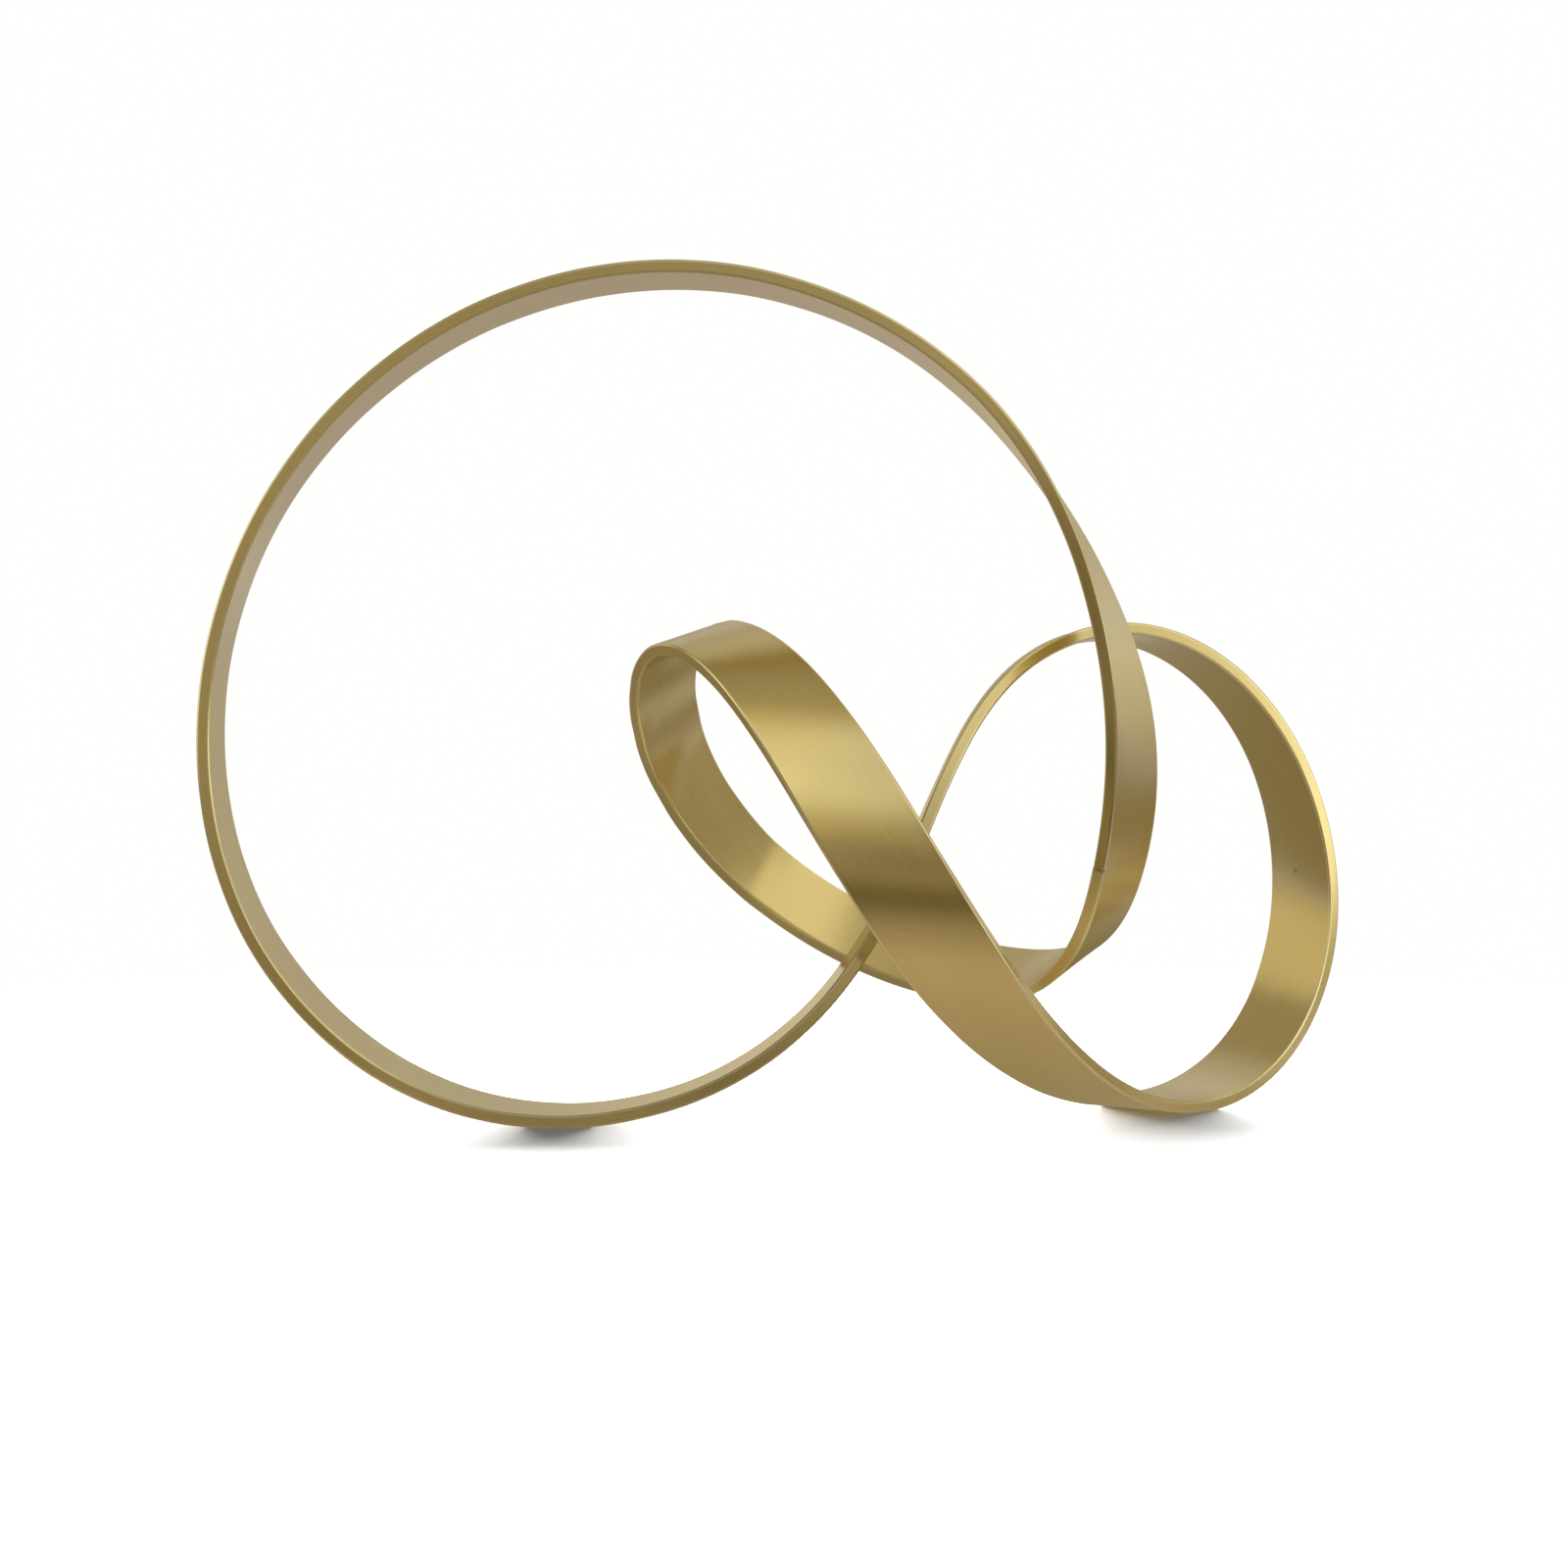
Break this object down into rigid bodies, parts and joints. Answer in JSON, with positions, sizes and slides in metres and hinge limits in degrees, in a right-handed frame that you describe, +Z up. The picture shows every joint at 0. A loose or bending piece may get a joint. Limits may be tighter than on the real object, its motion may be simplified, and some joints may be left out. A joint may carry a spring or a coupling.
{
  "type": "abstract metal sculpture",
  "caption": "Abstract table sculpture of brass flat bar bent and twisted into a closed knotted band: a large upright hoop, a small coil, a front diagonal and a tilted side loop.",
  "frame": {"origin": "Middle of the footprint's bounding box, at the surface that the sculpture stands on.", "axes": "+Z up, +X to the right as seen in the picture, +Y to the back, away from the camera."},
  "size_m": [0.3691, 0.1204, 0.2671],
  "materials": {
    "brass": "satin brass with fine lengthwise brushing and softly broken edges"
  },
  "bodies": {
    "root": {"brass_band": "brass"}
  },
  "joints": []
}
